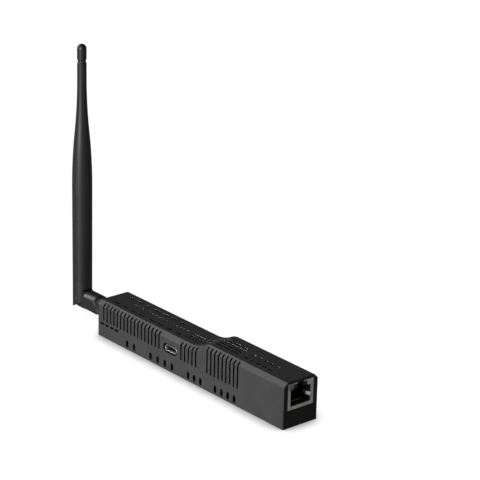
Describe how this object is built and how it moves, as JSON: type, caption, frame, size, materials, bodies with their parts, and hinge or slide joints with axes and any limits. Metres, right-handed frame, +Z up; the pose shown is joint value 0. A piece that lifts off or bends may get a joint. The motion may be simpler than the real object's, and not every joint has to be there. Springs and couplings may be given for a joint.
{
  "type": "smart home usb radio stick",
  "caption": "Bar-shaped smart home radio adapter with a vented housing, network and USB-C sockets and a hinged, swivelling rod antenna.",
  "frame": {"origin": "centre of the housing's footprint, on the surface that it rests on", "axes": "+X along the housing to the network jack, -Y out of the front with the USB-C socket, +Z up"},
  "size_m": [0.1786, 0.0214, 0.1475],
  "materials": {
    "housing_black": "fine spark texture, matt",
    "antenna_black": "satin",
    "insert_black": "plain",
    "board_green": "solder mask",
    "chip_black": "moulded",
    "shield_metal": "bright tin plate",
    "socket_metal": "bright",
    "gold": "gold plate",
    "dark_nickel": "black nickel",
    "white_plastic": "plain",
    "window_clear": "translucent",
    "ferrite": "sintered",
    "tape_yellow": "tape",
    "capacitor_metal": "drawn can",
    "ceramic_tan": "ceramic",
    "coax_jacket": "smooth",
    "pin_steel": "dark steel"
  },
  "bodies": {
    "housing": {"housing_shell": "housing_black", "base_cover": "housing_black", "main_board": "board_green", "jack_shield": "shield_metal", "jack_insert": "insert_black", "jack_contacts": "gold", "jack_window_front": "window_clear", "jack_window_rear": "window_clear", "usb_shell": "socket_metal", "usb_insert": "insert_black", "usb_contacts": "gold", "radio_board": "board_green", "radio_can": "shield_metal", "processor_board": "board_green", "processor_can": "shield_metal", "network_chip": "chip_black", "bridge_chip": "chip_black", "crystal_can": "socket_metal", "power_inductor": "ferrite", "bulk_capacitor": "capacitor_metal", "transformer_core": "ferrite", "transformer_bobbin": "insert_black", "transformer_winding": "tape_yellow", "chip_capacitors": "ceramic_tan", "chip_resistors": "chip_black", "status_leds": "white_plastic", "connector_barrel": "gold", "connector_insulator": "white_plastic", "connector_contact": "gold", "panel_washer": "dark_nickel", "panel_nut": "dark_nickel", "coupling_nut": "dark_nickel", "coax_pigtail": "coax_jacket", "coax_plug": "gold", "coax_receptacle": "gold"},
    "elbow": {"elbow": "antenna_black", "elbow_stem": "gold", "stem_insulator": "white_plastic", "antenna_pin": "gold", "elbow_lead": "coax_jacket"},
    "antenna": {"antenna_knuckle": "antenna_black", "hinge_pins": "pin_steel", "antenna_sleeve": "antenna_black", "antenna_lead": "coax_jacket", "radiator_tube": "gold", "radiator_wire": "gold"}
  },
  "joints": [
    {"name": "antenna_swivel", "type": "hinge", "parent": "housing", "child": "elbow", "pos_m": [-0.0846, 0, 0.00965], "axis": [-1, 0, 0], "continuous": true},
    {"name": "antenna_tilt", "type": "hinge", "parent": "elbow", "child": "antenna", "pos_m": [-0.1008, 0, 0.00965], "axis": [0, -1, 0], "range_deg": [0, 90]}
  ]
}
